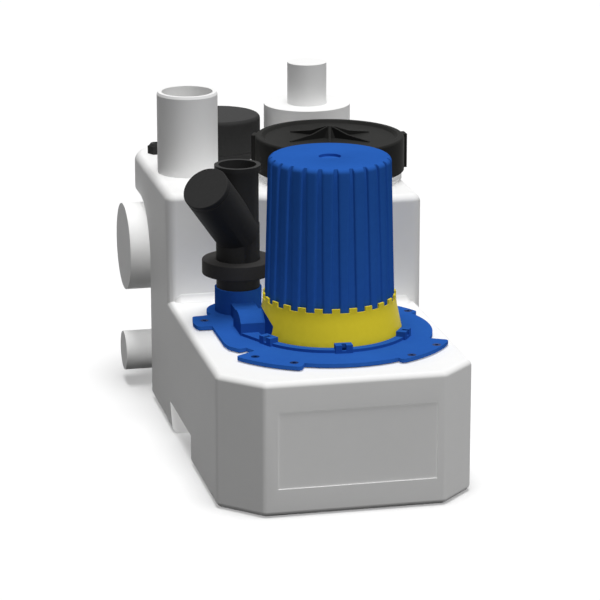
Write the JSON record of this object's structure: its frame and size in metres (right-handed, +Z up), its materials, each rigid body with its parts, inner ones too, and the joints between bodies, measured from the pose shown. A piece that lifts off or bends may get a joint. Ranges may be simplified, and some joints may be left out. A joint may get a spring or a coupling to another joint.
{
  "type": "sewage lifting station",
  "caption": "Sewage lifting station: plastic tank with inlets, vent and screw lid, flanged pump with ribbed motor, and ball check valve on its outlet.",
  "frame": {"origin": "point on the floor under the pump's axis", "axes": "+X to the right seen from the front, +Y from the front face to the back, +Z up"},
  "size_m": [0.3317, 0.6396, 0.4048],
  "materials": {
    "tank_plastic": "satin off-white rotationally moulded polyethylene",
    "black_plastic": "satin black moulded plastic",
    "lid_plastic": "satin black moulded plastic",
    "float_plastic": "pale grey plastic",
    "seal_rubber": "black rubber",
    "collar_rubber": "black rubber",
    "blue_casting": "blue painted casting",
    "blue_housing": "blue painted ribbed housing",
    "yellow_plastic": "satin yellow plastic",
    "screw_steel": "blue painted screws",
    "steel": "bright steel",
    "iron": "grey cast iron"
  },
  "bodies": {
    "station": {"tank": "tank_plastic", "vent_pipe": "tank_plastic", "neck_ring": "tank_plastic", "sensor_base": "black_plastic", "sensor_housing": "black_plastic", "float_rod": "steel", "float_stop": "black_plastic", "gland_body": "black_plastic", "gland_nut": "black_plastic", "flange_gasket": "seal_rubber", "pump_flange": "blue_casting", "flange_screws": "screw_steel", "boss_screws": "screw_steel", "motor_housing": "blue_housing", "motor_plug": "blue_housing", "motor_ring": "yellow_plastic", "stator": "iron", "upper_bearing": "steel", "lower_bearing": "steel", "shaft_seal": "seal_rubber", "volute": "iron", "cover_screws": "steel", "suction_cover": "iron", "nozzle_seal": "seal_rubber", "valve_body": "black_plastic", "coupling_collar": "collar_rubber", "chamber_cap": "black_plastic", "cap_seal": "seal_rubber"},
    "drive": {"shaft": "steel", "rotor": "steel", "impeller": "iron", "impeller_screw": "steel"},
    "lid_carrier": {"lid_gasket": "seal_rubber"},
    "lid": {"inspection_lid": "lid_plastic"},
    "float": {"level_float": "float_plastic"},
    "ball": {"valve_ball": "seal_rubber"}
  },
  "joints": [
    {"name": "pump_spin", "type": "hinge", "parent": "station", "child": "drive", "pos_m": [0, 0, 0.15], "axis": [0, 0, 1], "continuous": true},
    {"name": "lid_lift", "type": "slide", "parent": "station", "child": "lid_carrier", "axis": [0, 0, 1], "range_m": [0, 0.018]},
    {"name": "lid_turn", "type": "hinge", "parent": "lid_carrier", "child": "lid", "pos_m": [0.0527, 0.225, 0.32], "axis": [0, 0, 1], "range_deg": [0, 270]},
    {"name": "float_rise", "type": "slide", "parent": "station", "child": "float", "axis": [0, 0, 1], "range_m": [0, 0.09]},
    {"name": "ball_travel", "type": "slide", "parent": "station", "child": "ball", "axis": [-0.5, -0.5, 0.7071], "range_m": [0, 0.055]}
  ],
  "couplings": [
    {"joint": "lid_lift", "follows": "lid_turn", "m_per_rad": 0.0038197}
  ]
}
